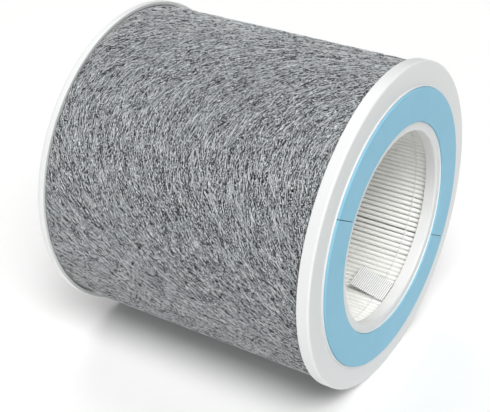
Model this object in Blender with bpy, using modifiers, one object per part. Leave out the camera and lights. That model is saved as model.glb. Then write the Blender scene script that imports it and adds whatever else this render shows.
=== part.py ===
"""Cylindrical air purifier filter: pleated media inside carbon and fabric sleeves, between two end caps.

Metres, +Z up. The filter stands on its closed bottom cap with the open, gasketed outlet end up.
The origin is at the centre of the bottom cap's underside. Radii grow outward from the pleats:
each layer sits on the one inside it, and the end caps take their size from the outermost sleeve.
"""
import math

import bmesh
import bpy
from mathutils import Matrix, Vector

# Whole filter
FILTER_HEIGHT = 0.2014        # underside of the bottom cap to the face of the top cap
CLEARANCE = 0.0003            # gap between pieces that touch
TURN_STEPS = 64               # facets round a turned piece
SHARP_ANGLE = math.radians(35.0)

# Pleated media
PLEAT_INNER_RADIUS = 0.0685   # fold tips that line the bore
PLEAT_DEPTH = 0.0306
PLEAT_PITCH = 0.00331         # from tip to tip round the bore
PAPER_THICKNESS = 0.0006
INNER_FOLD_RADIUS = 0.00085
INNER_FOLD_STEPS = 2
OUTER_FOLD_WIDTH = 0.0020

# Sleeves
CARBON_THICKNESS = 0.0042
WRAP_THICKNESS = 0.0013

# Adhesive
GLUE_BED_THICKNESS = 0.0010   # at each end of the media
GLUE_BED_STEPS = 48
BEAD_HEIGHT = 0.0015          # melted glue threads that keep the pleats apart
BEAD_THICKNESS = 0.0006
BEAD_STEPS = 40
BEAD_COUNT = 4
BEAD_DROP = 0.0078            # lower edge of the collar to the first bead
BEAD_LIFT = 0.0098            # top of the centring ring to the last bead

# End caps
SKIRT_WALL = 0.0025
CAP_EDGE_RADIUS = 0.0015
CAP_EDGE_STEPS = 3
TOP_PLATE = 0.0030
TOP_SKIRT_LAP = 0.0036        # how far the skirt covers the sleeve
BOTTOM_PLATE = 0.0022
BOTTOM_SKIRT_LAP = 0.0011

# Collar in the mouth of the top cap
COLLAR_LAP = 0.0042           # how far the collar covers the pleat tips
COLLAR_TOE = 0.0006           # wall left at the collar's lower edge
COLLAR_OVERHANG = 0.0048      # how far the mouth stands in from the pleat tips
MOUTH_ROUND = 0.0018
MOUTH_ROUND_START = 200.0     # degrees; where the collar's slope meets the round
MOUTH_ROUND_STEPS = 3
INNER_LIP_WIDTH = 0.0058
INNER_LIP_HEIGHT = 0.0007

# Centring ring and pressed panel of the bottom cap
CENTRING_LAP = 0.0032         # how far the ring covers the pleat tips
CENTRING_WALL = 0.0016
CENTRING_DRAFT = 0.0004
PANEL_MARGIN = 0.0119         # flat ring between the centring ring and the panel's slope
PANEL_RISE = 0.0016
PANEL_SLOPE = 0.0024

# Gasket and the seat that holds it
GASKET_WIDTH = 0.0213
GASKET_PROUD = 0.0023         # height above the face of the top cap
GASKET_RECESS = 0.0008
GASKET_EDGE_RADIUS = 0.0007
GASKET_EDGE_STEPS = 2
GASKET_SLIT = 0.0004          # between the two halves
GASKET_SPLIT_ANGLE = math.radians(-30.0)
INNER_SEAT_GAP = 0.0006
OUTER_SEAT_GAP = 0.0005
OUTER_LIP_WIDTH = 0.0010
OUTER_LIP_HEIGHT = 0.0010

# Pull tab
TAB_WIDTH = 0.0172
TAB_LENGTH = 0.0252
TAB_THICKNESS = 0.0010
TAB_ANGLE = math.radians(107.8)
TAB_TILT = math.radians(14.0)
TAB_SKEW = math.radians(2.5)
TAB_BEND_RADIUS = 0.0120
RIB_PITCH = 0.0013
RIB_DEPTH = 0.00022
RIB_CREST = 0.5               # crest's share of the rib pitch

# Radii that follow from the layers
PLEAT_OUTER_RADIUS = PLEAT_INNER_RADIUS + PLEAT_DEPTH
CARBON_INNER_RADIUS = PLEAT_OUTER_RADIUS + CLEARANCE
CARBON_OUTER_RADIUS = CARBON_INNER_RADIUS + CARBON_THICKNESS
WRAP_INNER_RADIUS = CARBON_OUTER_RADIUS + CLEARANCE
WRAP_OUTER_RADIUS = WRAP_INNER_RADIUS + WRAP_THICKNESS
SKIRT_INNER_RADIUS = WRAP_OUTER_RADIUS + CLEARANCE
CAP_RADIUS = SKIRT_INNER_RADIUS + SKIRT_WALL
BORE_LINE_RADIUS = PLEAT_INNER_RADIUS - CLEARANCE
MOUTH_RADIUS = PLEAT_INNER_RADIUS - COLLAR_OVERHANG
INNER_LIP_RADIUS = MOUTH_RADIUS + INNER_LIP_WIDTH
GASKET_INNER_RADIUS = INNER_LIP_RADIUS + INNER_SEAT_GAP
GASKET_OUTER_RADIUS = GASKET_INNER_RADIUS + GASKET_WIDTH

# Heights that follow from the caps
TOP_CEILING = FILTER_HEIGHT - TOP_PLATE
MEDIA_BOTTOM = BOTTOM_PLATE + CLEARANCE + GLUE_BED_THICKNESS + CLEARANCE
MEDIA_TOP = TOP_CEILING - CLEARANCE - GLUE_BED_THICKNESS - CLEARANCE
COLLAR_BOTTOM = MEDIA_TOP - COLLAR_LAP
CENTRING_TOP = MEDIA_BOTTOM + CENTRING_LAP
GASKET_SEAT = FILTER_HEIGHT - GASKET_RECESS

# Finishes: colour and roughness
SHELL = ((0.86, 0.87, 0.86), 0.45)
FOAM = ((0.25, 0.47, 0.63), 0.85)
FABRIC = ((0.30, 0.32, 0.33), 0.95)
CARBON = ((0.03, 0.03, 0.03), 0.95)
PAPER = ((0.83, 0.83, 0.79), 0.90)
GLUE = ((0.85, 0.84, 0.78), 0.55)
WEBBING = ((0.90, 0.90, 0.89), 0.80)


def arc(center, radius, start, end, steps):
    """Points of a circular arc between two angles in degrees, in the plane of a profile."""
    angles = [math.radians(start + (end - start) * i / steps) for i in range(steps + 1)]
    return [(center[0] + radius * math.cos(a), center[1] + radius * math.sin(a)) for a in angles]


def add_object(name, data, collection):
    """A new object in a collection."""
    obj = bpy.data.objects.new(name, data)
    collection.objects.link(obj)
    return obj


def add_finish(obj, finish):
    """The object's own plain material."""
    colour, roughness = finish
    material = bpy.data.materials.new(obj.name)
    material.use_nodes = True
    shader = material.node_tree.nodes["Principled BSDF"]
    shader.inputs["Base Color"].default_value = (*colour, 1.0)
    shader.inputs["Roughness"].default_value = roughness
    shader.inputs["Metallic"].default_value = 0.0
    obj.data.materials.append(material)


def settle(obj):
    """Bake the object's modifiers, then shade it smooth up to its sharp edges."""
    bpy.context.view_layer.update()
    evaluated = obj.evaluated_get(bpy.context.evaluated_depsgraph_get())
    mesh = bpy.data.meshes.new_from_object(evaluated)
    obj.modifiers.clear()
    obj.data = mesh
    mesh.shade_smooth()
    mesh.set_sharp_from_angle(angle=SHARP_ANGLE)


def turned(name, profile, closed, steps, collection):
    """A profile of (radius, height) points turned about the filter's axis."""
    mesh = bpy.data.meshes.new(name)
    count = len(profile)
    edges = [(i, (i + 1) % count) for i in range(count if closed else count - 1)]
    mesh.from_pydata([(radius, 0.0, height) for radius, height in profile], edges, [])
    obj = add_object(name, mesh, collection)
    screw = obj.modifiers.new("turn", "SCREW")
    screw.axis = "Z"
    screw.angle = math.tau
    screw.steps = steps
    screw.render_steps = steps
    screw.use_merge_vertices = True
    screw.merge_threshold = 0.00001
    return obj


def add_sleeve(name, radii, heights, steps, finish, collection):
    """A plain turned ring between two radii and two heights."""
    inner, outer = radii
    bottom, top = heights
    profile = [(outer, top), (outer, bottom), (inner, bottom), (inner, top)]
    ring = turned(name, profile, True, steps, collection)
    settle(ring)
    add_finish(ring, finish)


def top_cap_profile():
    """Section of the top cap: edge round, skirt, channel, collar, mouth, gasket seat and lip."""
    skirt_bottom = MEDIA_TOP - TOP_SKIRT_LAP
    mouth_top = FILTER_HEIGHT + INNER_LIP_HEIGHT
    lip_top = FILTER_HEIGHT + OUTER_LIP_HEIGHT
    lip_inner = GASKET_OUTER_RADIUS + OUTER_SEAT_GAP
    lip_outer = lip_inner + OUTER_LIP_WIDTH
    edge_center = (CAP_RADIUS - CAP_EDGE_RADIUS, FILTER_HEIGHT - CAP_EDGE_RADIUS)
    mouth_center = (MOUTH_RADIUS + MOUTH_ROUND, mouth_top - MOUTH_ROUND)
    return [
        *arc(edge_center, CAP_EDGE_RADIUS, 90, 0, CAP_EDGE_STEPS),
        (CAP_RADIUS, skirt_bottom),
        (SKIRT_INNER_RADIUS, skirt_bottom),
        (SKIRT_INNER_RADIUS, TOP_CEILING),
        (BORE_LINE_RADIUS, TOP_CEILING),
        (BORE_LINE_RADIUS, COLLAR_BOTTOM),
        (BORE_LINE_RADIUS - COLLAR_TOE, COLLAR_BOTTOM),
        *arc(mouth_center, MOUTH_ROUND, MOUTH_ROUND_START, 90, MOUTH_ROUND_STEPS),
        (INNER_LIP_RADIUS, mouth_top),
        (INNER_LIP_RADIUS, GASKET_SEAT),
        (lip_inner, GASKET_SEAT),
        (lip_inner, lip_top),
        (lip_outer, lip_top),
        (lip_outer, FILTER_HEIGHT),
    ]


def bottom_cap_profile():
    """Section of the closed bottom cap, from the axis over its inside, down its rim and back."""
    skirt_top = MEDIA_BOTTOM + BOTTOM_SKIRT_LAP
    ring_inner = BORE_LINE_RADIUS - CENTRING_WALL
    slope_outer = ring_inner - PANEL_MARGIN
    panel = slope_outer - PANEL_SLOPE
    edge_center = (CAP_RADIUS - CAP_EDGE_RADIUS, CAP_EDGE_RADIUS)
    return [
        (0.0, PANEL_RISE + BOTTOM_PLATE),
        (panel, PANEL_RISE + BOTTOM_PLATE),
        (slope_outer, BOTTOM_PLATE),
        (ring_inner, BOTTOM_PLATE),
        (ring_inner + CENTRING_DRAFT, CENTRING_TOP),
        (BORE_LINE_RADIUS, CENTRING_TOP),
        (BORE_LINE_RADIUS, BOTTOM_PLATE),
        (SKIRT_INNER_RADIUS, BOTTOM_PLATE),
        (SKIRT_INNER_RADIUS, skirt_top),
        (CAP_RADIUS, skirt_top),
        *arc(edge_center, CAP_EDGE_RADIUS, 0, -90, CAP_EDGE_STEPS),
        (slope_outer, 0.0),
        (panel, PANEL_RISE),
        (0.0, PANEL_RISE),
    ]


def add_end_caps(collection):
    """The open top cap and the closed bottom cap."""
    top = turned("top_end_cap", top_cap_profile(), True, TURN_STEPS, collection)
    bottom = turned("bottom_end_cap", bottom_cap_profile(), False, TURN_STEPS, collection)
    for cap in (top, bottom):
        settle(cap)
        add_finish(cap, SHELL)


def gasket_profile():
    """Section of the foam gasket, with softly rounded upper edges."""
    bottom = GASKET_SEAT + CLEARANCE
    round_height = FILTER_HEIGHT + GASKET_PROUD - GASKET_EDGE_RADIUS
    outer_center = (GASKET_OUTER_RADIUS - GASKET_EDGE_RADIUS, round_height)
    inner_center = (GASKET_INNER_RADIUS + GASKET_EDGE_RADIUS, round_height)
    return [
        *arc(outer_center, GASKET_EDGE_RADIUS, 90, 0, GASKET_EDGE_STEPS),
        (GASKET_OUTER_RADIUS, bottom),
        (GASKET_INNER_RADIUS, bottom),
        *arc(inner_center, GASKET_EDGE_RADIUS, 180, 90, GASKET_EDGE_STEPS),
    ]


def add_gasket_half(name, side, collection, cutters):
    """Half of the gasket ring: a block takes away the other half, up to half of the slit."""
    half = turned(name, gasket_profile(), True, TURN_STEPS, collection)
    half.rotation_euler.z = GASKET_SPLIT_ANGLE + math.pi / TURN_STEPS
    reach = 2.0 * (GASKET_OUTER_RADIUS + GASKET_WIDTH)
    block = bpy.data.meshes.new(name + "_cutter")
    shape = bmesh.new()
    bmesh.ops.create_cube(shape, size=reach)
    shape.to_mesh(block)
    shape.free()
    cutter = add_object(block.name, block, cutters)
    cutter.hide_render = True
    cutter.display_type = "WIRE"
    cutter.rotation_euler.z = GASKET_SPLIT_ANGLE
    away = Vector((0.0, -side * (reach - GASKET_SLIT) / 2, FILTER_HEIGHT))
    cutter.location = Matrix.Rotation(GASKET_SPLIT_ANGLE, 3, "Z") @ away
    cut = half.modifiers.new("split", "BOOLEAN")
    cut.operation = "DIFFERENCE"
    cut.solver = "EXACT"
    cut.object = cutter
    settle(half)
    add_finish(half, FOAM)


def pleat_path():
    """Middle line of the folded paper: a round fold at the bore and a flat one outside, all round."""
    count = round(math.tau * PLEAT_INNER_RADIUS / PLEAT_PITCH)
    turn = math.tau / count
    fold_center = PLEAT_INNER_RADIUS + PAPER_THICKNESS / 2 + INNER_FOLD_RADIUS
    crease = PLEAT_OUTER_RADIUS - PAPER_THICKNESS / 2
    path = []
    for pleat in range(count):
        inner = Matrix.Rotation(pleat * turn, 3, "Z")
        outer = Matrix.Rotation((pleat + 0.5) * turn, 3, "Z")
        for along, across in arc((fold_center, 0.0), INNER_FOLD_RADIUS, 270, 90, INNER_FOLD_STEPS):
            path.append(inner @ Vector((along, across, MEDIA_BOTTOM)))
        for across in (-OUTER_FOLD_WIDTH / 2, OUTER_FOLD_WIDTH / 2):
            path.append(outer @ Vector((crease, across, MEDIA_BOTTOM)))
    return path


def add_pleated_media(collection):
    """One strip of filter paper folded into a ring of pleats."""
    mesh = bpy.data.meshes.new("pleated_media")
    sheet = bmesh.new()
    points = [sheet.verts.new(point) for point in pleat_path()]
    edges = [sheet.edges.new((points[i - 1], points[i])) for i in range(len(points))]
    raised = bmesh.ops.extrude_edge_only(sheet, edges=edges)["geom"]
    tops = [item for item in raised if isinstance(item, bmesh.types.BMVert)]
    bmesh.ops.translate(sheet, verts=tops, vec=(0.0, 0.0, MEDIA_TOP - MEDIA_BOTTOM))
    bmesh.ops.recalc_face_normals(sheet, faces=sheet.faces)
    sheet.to_mesh(mesh)
    sheet.free()
    media = add_object("pleated_media", mesh, collection)
    paper = media.modifiers.new("paper", "SOLIDIFY")
    paper.thickness = PAPER_THICKNESS
    paper.offset = 0.0
    paper.use_even_offset = True
    settle(media)
    add_finish(media, PAPER)


def add_sleeves(collection):
    """The carbon cloth round the pleats and the fabric pre-filter round the carbon."""
    heights = (MEDIA_BOTTOM, MEDIA_TOP)
    carbon = (CARBON_INNER_RADIUS, CARBON_OUTER_RADIUS)
    wrap = (WRAP_INNER_RADIUS, WRAP_OUTER_RADIUS)
    add_sleeve("carbon_layer", carbon, heights, TURN_STEPS, CARBON, collection)
    add_sleeve("prefilter_wrap", wrap, heights, TURN_STEPS, FABRIC, collection)


def add_glue(collection):
    """The beds that bind the media into both caps, and the threads across the pleat tips."""
    bed_radii = (PLEAT_INNER_RADIUS, WRAP_OUTER_RADIUS)
    lower = BOTTOM_PLATE + CLEARANCE
    upper = TOP_CEILING - CLEARANCE - GLUE_BED_THICKNESS
    for name, bottom in (("bottom_glue_bed", lower), ("top_glue_bed", upper)):
        heights = (bottom, bottom + GLUE_BED_THICKNESS)
        add_sleeve(name, bed_radii, heights, GLUE_BED_STEPS, GLUE, collection)
    bead_radii = (BORE_LINE_RADIUS - BEAD_THICKNESS, BORE_LINE_RADIUS)
    highest = COLLAR_BOTTOM - BEAD_DROP
    lowest = CENTRING_TOP + BEAD_LIFT
    for bead in range(BEAD_COUNT):
        center = highest + (lowest - highest) * bead / (BEAD_COUNT - 1)
        heights = (center - BEAD_HEIGHT / 2, center + BEAD_HEIGHT / 2)
        add_sleeve(f"glue_bead_{bead + 1}", bead_radii, heights, BEAD_STEPS, GLUE, collection)


def tab_middle(distance):
    """Place and lean of the tab's middle line at a distance along it: bent first, then straight."""
    bend = TAB_BEND_RADIUS * TAB_TILT
    lean = min(distance, bend) / TAB_BEND_RADIUS
    straight = max(distance - bend, 0.0)
    inward = TAB_BEND_RADIUS * (1.0 - math.cos(lean)) + straight * math.sin(lean)
    down = TAB_BEND_RADIUS * math.sin(lean) + straight * math.cos(lean)
    return Vector((-inward, -down)), lean


def tab_outline():
    """Side outline of the ribbed webbing: down its outer face and back up its inner face."""
    ribs = max(round(TAB_LENGTH / RIB_PITCH), 1)
    pitch = TAB_LENGTH / ribs
    crest = TAB_THICKNESS / 2
    valley = crest - RIB_DEPTH
    stations = [(0.0, valley)]
    for rib in range(ribs):
        middle = (rib + 0.5) * pitch
        stations.append((middle - RIB_CREST * pitch / 2, crest))
        stations.append((middle + RIB_CREST * pitch / 2, crest))
        stations.append(((rib + 1) * pitch, valley))
    outer_face = []
    inner_face = []
    for distance, height in stations:
        place, lean = tab_middle(distance)
        outward = Vector((math.cos(lean), -math.sin(lean)))
        outer_face.append(place + height * outward)
        inner_face.append(place - height * outward)
    return outer_face + inner_face[::-1]


def add_pull_tab(collection):
    """A short strip of ribbed webbing, glued to the pleat tips just under the collar."""
    curve = bpy.data.curves.new("pull_tab", "CURVE")
    curve.dimensions = "2D"
    curve.fill_mode = "BOTH"
    curve.extrude = TAB_WIDTH / 2
    outline = tab_outline()
    spline = curve.splines.new("POLY")
    spline.points.add(len(outline) - 1)
    for point, place in zip(spline.points, outline):
        point.co = (place.x, place.y, 0.0, 1.0)
    spline.use_cyclic_u = True
    tab = add_object("pull_tab", curve, collection)
    radial = Vector((math.cos(TAB_ANGLE), math.sin(TAB_ANGLE), 0.0))
    up = Vector((0.0, 0.0, 1.0))
    facing = Matrix((radial, up, radial.cross(up))).transposed()
    skewed = Matrix.Rotation(TAB_SKEW, 3, radial) @ facing
    seat = math.sqrt(BORE_LINE_RADIUS ** 2 - (TAB_WIDTH / 2) ** 2) - TAB_THICKNESS / 2
    skew_drop = math.sin(abs(TAB_SKEW)) * TAB_WIDTH / 2
    tab.rotation_euler = skewed.to_euler()
    tab.location = radial * seat + up * (COLLAR_BOTTOM - CLEARANCE - skew_drop)
    add_finish(tab, WEBBING)


def main():
    for obj in list(bpy.data.objects):
        bpy.data.objects.remove(obj, do_unlink=True)
    filter_parts = bpy.data.collections.new("air_purifier_filter")
    cutters = bpy.data.collections.new("cutters")
    for collection in (filter_parts, cutters):
        bpy.context.scene.collection.children.link(collection)
    add_end_caps(filter_parts)
    add_gasket_half("gasket_half_a", 1.0, filter_parts, cutters)
    add_gasket_half("gasket_half_b", -1.0, filter_parts, cutters)
    add_pleated_media(filter_parts)
    add_sleeves(filter_parts)
    add_glue(filter_parts)
    add_pull_tab(filter_parts)


main()
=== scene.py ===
"""Looks of a round air purifier filter: white caps, blue foam gasket, grey nonwoven sleeve, pleated media.

Metres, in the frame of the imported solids: +Z runs up the filter's axis from its closed end. The photo shows
the filter lying on its side, so the pale floor here is an upright plane that the rims touch, and the camera
is turned with it.
"""
import math

import bmesh
import bpy
import numpy as np
from mathutils import Matrix, Vector, noise


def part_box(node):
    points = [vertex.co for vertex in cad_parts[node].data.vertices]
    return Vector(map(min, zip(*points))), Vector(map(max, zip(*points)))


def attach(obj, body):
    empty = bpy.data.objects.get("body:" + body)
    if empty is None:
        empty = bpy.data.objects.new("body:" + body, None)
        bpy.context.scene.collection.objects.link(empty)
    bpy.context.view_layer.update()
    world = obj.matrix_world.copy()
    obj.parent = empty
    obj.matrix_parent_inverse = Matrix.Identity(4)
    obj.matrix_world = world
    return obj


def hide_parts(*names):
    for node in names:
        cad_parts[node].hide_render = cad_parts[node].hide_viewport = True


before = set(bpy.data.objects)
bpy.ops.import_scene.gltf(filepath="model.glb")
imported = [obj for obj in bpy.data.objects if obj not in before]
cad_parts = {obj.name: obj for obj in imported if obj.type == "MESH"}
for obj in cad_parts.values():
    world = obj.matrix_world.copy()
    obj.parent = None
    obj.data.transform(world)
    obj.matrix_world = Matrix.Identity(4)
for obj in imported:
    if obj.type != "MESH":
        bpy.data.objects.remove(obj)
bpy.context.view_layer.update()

MM = 0.001
DEGREE = math.pi / 180.0
UP = Vector((0.0, 0.0, 1.0))

# Read from the solids
CAP_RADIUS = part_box("top_end_cap")[1].x
COLLAR_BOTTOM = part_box("top_end_cap")[0].z
OUTER_LIP_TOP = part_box("top_end_cap")[1].z
CENTRING_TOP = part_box("bottom_end_cap")[1].z
MEDIA_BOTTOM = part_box("pleated_media")[0].z
MEDIA_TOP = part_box("pleated_media")[1].z
WRAP_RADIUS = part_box("prefilter_wrap")[1].x
GASKET_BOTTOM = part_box("gasket_half_a")[0].z
GASKET_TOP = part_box("gasket_half_a")[1].z
BEADS = [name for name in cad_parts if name.startswith("glue_bead")]
BEAD_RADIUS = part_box(BEADS[0])[1].x

# Shared by several pieces
CLEARANCE = 0.3 * MM
WELD = 0.002 * MM             # points nearer than this become one
TURN_STEPS = 256
FILLET_STEPS = 5
EDGE_ROUND = 0.35 * MM        # edges in the open
FOOT_ROUND = 0.3 * MM         # feet and shoulders of the lips and the collar
HIDDEN_ROUND = 0.2 * MM
SEAT_ROUND = 0.15 * MM        # where the foam sits

# End caps
SKIRT_WALL = 2.5 * MM
SKIRT_LAP = 3.6 * MM
CAP_EDGE = 1.6 * MM
TOP_PLATE = 3.0 * MM
OUTER_LIP_HEIGHT = 1.0 * MM
OUTER_LIP_WIDTH = 1.0 * MM
OUTER_SEAT_GAP = 0.5 * MM
INNER_LIP_HEIGHT = 0.7 * MM
INNER_LIP_WIDTH = 5.8 * MM
INNER_SEAT_GAP = 0.6 * MM
INNER_BEAD_HEIGHT = 0.6 * MM  # a fine raised rim along the inner lip's outer edge
INNER_BEAD_WIDTH = 0.6 * MM
INNER_BEAD_ROUNDS = (0.1 * MM, 0.12 * MM)
SEAT_SQUEEZE = 0.4 * MM       # the foam fills most of the gap to each lip
COLLAR_DRAFT = 1.0 * MM
COLLAR_LIFT = 1.1 * MM
MOUTH_RADIUS = 63.7 * MM
MOUTH_ROUND = 1.3 * MM
MOUTH_ROUND_START = 187.0     # degrees, where it runs into the collar's wall
MOUTH_STEPS = 10
BOTTOM_PLATE = 2.2 * MM
BOTTOM_SKIRT_LAP = 1.1 * MM
CENTRING_WALL = 1.6 * MM
CENTRING_DRAFT = 0.4 * MM
CENTRING_FOOT_ROUND = 0.4 * MM
PANEL_MARGIN = 11.9 * MM
PANEL_RISE = 1.6 * MM
PANEL_SLOPE = 2.4 * MM
PANEL_ROUND = 1.2 * MM

# Gasket
GASKET_WIDTH = 21.3 * MM
GASKET_EDGE = 0.55 * MM
GASKET_SLIT = 0.4 * MM
GASKET_SPLIT = -30.0 * DEGREE
GASKET_STEPS = 180
GASKET_END = 0.25 * MM        # the length over which the foam's cut ends are rounded
GASKET_END_SHAPE = ((0.0, 0.18 * MM), (0.3, 0.08 * MM), (1.0, 0.0))  # share of that length, inset
GASKET_WAVE = 0.06 * MM
GASKET_WAVE_REACH = 40.0      # a greater number gives more waves round the ring

# Pleated paper
PLEAT_RADIUS = 68.5 * MM
PLEAT_DEPTH = 30.6 * MM
PLEAT_PITCH = 3.31 * MM
PLEAT_COUNT = round(math.tau * PLEAT_RADIUS / PLEAT_PITCH)
PAPER_THICKNESS = 0.6 * MM
FOLD_RADIUS = 1.1 * MM
FOLD_STEPS = 4
CREASE_WIDTH = 2.0 * MM
PLEAT_LEVELS = 16
PLEAT_SEED = 11
PLEAT_DRIFT = 0.12 * MM       # how far a fold strays sideways
PLEAT_WANDER = 0.10 * MM      # how far it wanders along its length
PLEAT_WANDER_LENGTH = 11 * MM
PLEAT_WANDER_STEP = 1.7       # how unlike the wander of the next fold is
PLEAT_SHARP = 50 * DEGREE     # steeper edges are shaded as creases

# Sleeve
WRAP_THICKNESS = 1.3 * MM
WRAP_STEPS = 288
WRAP_LEVELS = 70
WRAP_SINK = 0.30 * MM         # the cloth's body lies this far inside the solid, with fibres on it
WRAP_BUMP = 0.10 * MM
WRAP_BUMP_SIZES = ((9 * MM, 1.0), (3.2 * MM, 0.6))  # size, share of the height
SEAM_SHADE_WIDTH = 0.45 * MM        # painted shade: the dark line where the cloth goes under a cap
CREST_ANGLE = -43.2 * DEGREE  # the fibres lie in arcs that run straight round the sleeve here
ARC_STEEPNESS = 1.9           # how steeply they climb a quarter turn away
LAY_BAND = 20.0 * MM          # the arcs in the cloth are drawn in bands this high
FIBRE_CROSSING = 11.0 * DEGREE  # how far fibres stray from their arc
FIBRE_TAPER = 0.7
FIBRE_SINK = 0.20 * MM        # how far under the cloth's body a fibre's low end may lie
FIBRES = {
    # tone: (seed, count, parts, shortest, longest, thinnest, widest, greatest height)
    "dark": (5, 24000, 1, 0.9 * MM, 2.0 * MM, 0.52 * MM, 0.72 * MM, 0.14 * MM),
    "grey": (6, 4500, 6, 8.0 * MM, 26.0 * MM, 0.24 * MM, 0.34 * MM, 0.42 * MM),
    "light": (8, 9500, 3, 3.5 * MM, 11.0 * MM, 0.22 * MM, 0.32 * MM, 0.60 * MM),
}
FIBRE_TONES = {
    # tone: (darkest, lightest, sheen)
    "dark": ((0.002, 0.002, 0.003), (0.020, 0.021, 0.023), 0.5),
    "grey": ((0.24, 0.262, 0.272), (0.60, 0.635, 0.65), 1.0),
    "light": ((0.43, 0.46, 0.475), (0.94, 0.96, 0.96), 1.0),
}

# Glue threads
BEAD_STEPS = 6                # to each pleat
BEAD_HEIGHT = 1.0 * MM
BEAD_FILM = 0.08 * MM         # what lies over the tips
BEAD_SAG = 0.85 * MM
BEAD_DEPTH = 1.4 * MM
BEAD_SIDES = 8
BEAD_DRIFT = 0.35 * MM        # how far a thread strays up and down
BEAD_SWELL = 0.3
BEAD_RAGGED = 0.4 * MM        # how unevenly it fills the grooves
BEAD_WAVE_REACH = 9.0         # a greater number gives more waves round the thread

# Pull tab
TAB_WIDTH = 17.2 * MM
TAB_LENGTH = 25.2 * MM
TAB_THICKNESS = 1.0 * MM
TAB_ANGLE = 107.8 * DEGREE
TAB_TILT = 14.0 * DEGREE
TAB_SKEW = 2.5 * DEGREE
TAB_BEND = 12.0 * MM
TAB_RIBS = 19
TAB_RIB_STEPS = 8
TAB_RIB_DEPTH = 0.40 * MM
TAB_YARN_PITCH = 0.85 * MM
TAB_YARN_DEPTH = 0.05 * MM
TAB_COLUMNS = 60
TAB_EDGE = 0.5 * MM           # the selvedge thins over this width
TAB_EDGE_SHARE = 0.35
TAB_RIB_POWER = 0.7           # under 1 for ribs that are blunter than a sine

# Camera, found from the outlines of the caps in the photo
CAMERA_PLACE = (0.5930, -0.3827, 0.4672)
CAMERA_AIM = (-0.0301, 0.0383, 0.0709)
CAMERA_LENS = 86.555
CAMERA_SENSOR = 36.0
FLOOR_SIDE = Vector((0.0, -1.0, 0.0))  # which way is up for the photo's floor

# Light
FLOOR_SIZE = 8.0
FLOOR_COLOUR = (0.920, 0.921, 0.914, 1.0)
SKY_COLOUR = (0.965, 0.985, 1.0, 1.0)
SKY_STRENGTH = 0.01
LAMPS = {
    # name: (angle round the filter's axis, rise towards its open end, width of the lamp as seen, strength)
    "high key": (-66.0, 31.0, 32.0, 0.48),
    "low key": (-64.0, 13.0, 32.0, 0.51),
    "fill": (-32.0, 22.0, 30.0, 0.19),
    "top": (-112.0, -24.0, 30.0, 0.24),
    "below": (65.0, -12.0, 30.0, 0.08),
    "behind": (155.0, -8.0, 40.0, 0.55),
}


def add_node(tree, kind, inputs=(), **settings):
    """A shader node. Its inputs are set to plain values or joined to other nodes' outputs."""
    made = tree.nodes.new(kind)
    for name, value in settings.items():
        setattr(made, name, value)
    for name, value in dict(inputs).items():
        socket = made.inputs[name]
        if isinstance(value, bpy.types.NodeSocket):
            tree.links.new(value, socket)
        else:
            socket.default_value = value
    return made


def maths(tree, operation, *values, clamp=False):
    """The output of a Math node on up to three values."""
    made = add_node(tree, "ShaderNodeMath", enumerate(values), operation=operation, use_clamp=clamp)
    return made.outputs[0]


def ramp(tree, value, low, high, start=0.0, end=1.0):
    """A value taken from one range to another and held inside it."""
    inputs = {"Value": value, "From Min": low, "From Max": high, "To Min": start, "To Max": end}
    return add_node(tree, "ShaderNodeMapRange", inputs, clamp=True).outputs["Result"]


def tint(tree, share, *colours):
    """Two colours mixed by a share. Each is a plain (red, green, blue) or another node's output."""
    first, second = ((*colour, 1.0) if isinstance(colour, tuple) else colour for colour in colours)
    inputs = {"Factor": share, 6: first, 7: second}
    return add_node(tree, "ShaderNodeMix", inputs, data_type="RGBA").outputs[2]


def cloud(tree, place, scale, detail, roughness):
    """Noise over a place, from 0 to 1."""
    inputs = {"Vector": place, "Scale": scale, "Detail": detail, "Roughness": roughness}
    return add_node(tree, "ShaderNodeTexNoise", inputs).outputs["Fac"]


def split(tree, vector):
    """The three parts of a vector."""
    return add_node(tree, "ShaderNodeSeparateXYZ", {0: vector}).outputs


def turned(tree, vector, angle):
    """The three parts of a vector turned about the third axis."""
    inputs = {"Vector": vector, "Angle": angle}
    return split(tree, add_node(tree, "ShaderNodeVectorRotate", inputs, rotation_type="Z_AXIS").outputs[0])


def joined(tree, *parts):
    """A vector made of three parts."""
    return add_node(tree, "ShaderNodeCombineXYZ", enumerate(parts)).outputs[0]


def new_group(name, inputs, outputs, kind="Float"):
    """An empty node group. Each input is a number with its usual value, or a vector where that is None."""
    group = bpy.data.node_groups.new(name, "ShaderNodeTree")
    for label, value in inputs.items():
        if value is None:
            group.interface.new_socket(label, in_out="INPUT", socket_type="NodeSocketVector")
        else:
            socket = group.interface.new_socket(label, in_out="INPUT", socket_type="NodeSocketFloat")
            socket.default_value = value
    for label in outputs:
        group.interface.new_socket(label, in_out="OUTPUT", socket_type="NodeSocket" + kind)
    return group, add_node(group, "NodeGroupInput").outputs, add_node(group, "NodeGroupOutput").inputs


def place_group(tree, group, inputs):
    """A node group placed in a material, or in another group, with its own values."""
    return add_node(tree, "ShaderNodeGroup", inputs, node_tree=group).outputs


def fine_grain_group():
    """Small even grain, and a slow drift of tone over the surface."""
    inputs = {"Place": None, "Grain Size": 0.0003, "Drift Size": 0.03}
    group, given, result = new_group("fine grain", inputs, ["Grain", "Drift"])
    for label, detail, roughness in (("Grain", 3.0, 0.6), ("Drift", 2.0, 0.5)):
        scale = maths(group, "DIVIDE", 1.0, given[label + " Size"])
        group.links.new(cloud(group, given["Place"], scale, detail, roughness), result[label])
    return group


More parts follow.
